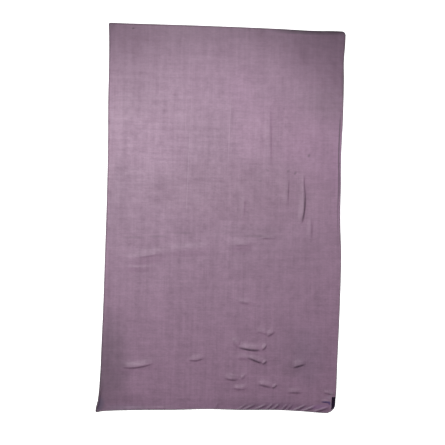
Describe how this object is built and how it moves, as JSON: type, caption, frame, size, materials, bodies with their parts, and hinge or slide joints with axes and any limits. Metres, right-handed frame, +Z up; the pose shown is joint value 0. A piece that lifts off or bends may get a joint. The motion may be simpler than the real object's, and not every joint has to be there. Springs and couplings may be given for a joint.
{
  "type": "silk scarf",
  "caption": "Long rectangular scarf of thin mauve silk with a narrow turned hem all round and a small dark care label at one corner, laid flat.",
  "frame": {"origin": "middle of the scarf's outline box, on the surface that it lies on", "axes": "+X across the scarf to the care label's side, +Y along its length to the end away from the label, +Z up out of the surface"},
  "size_m": [1.133, 1.8228, 0.0053],
  "materials": {
    "silk": "thin crepe silk with a soft sheen, dusty mauve",
    "silk_hem": "the same silk, turned and stitched in matching thread",
    "label_tape": "black woven tape, slightly glossy"
  },
  "bodies": {
    "root": {"panel": "silk", "hem_bottom": "silk_hem", "hem_right": "silk_hem", "hem_top": "silk_hem", "hem_left": "silk_hem", "care_label": "label_tape"}
  },
  "joints": []
}
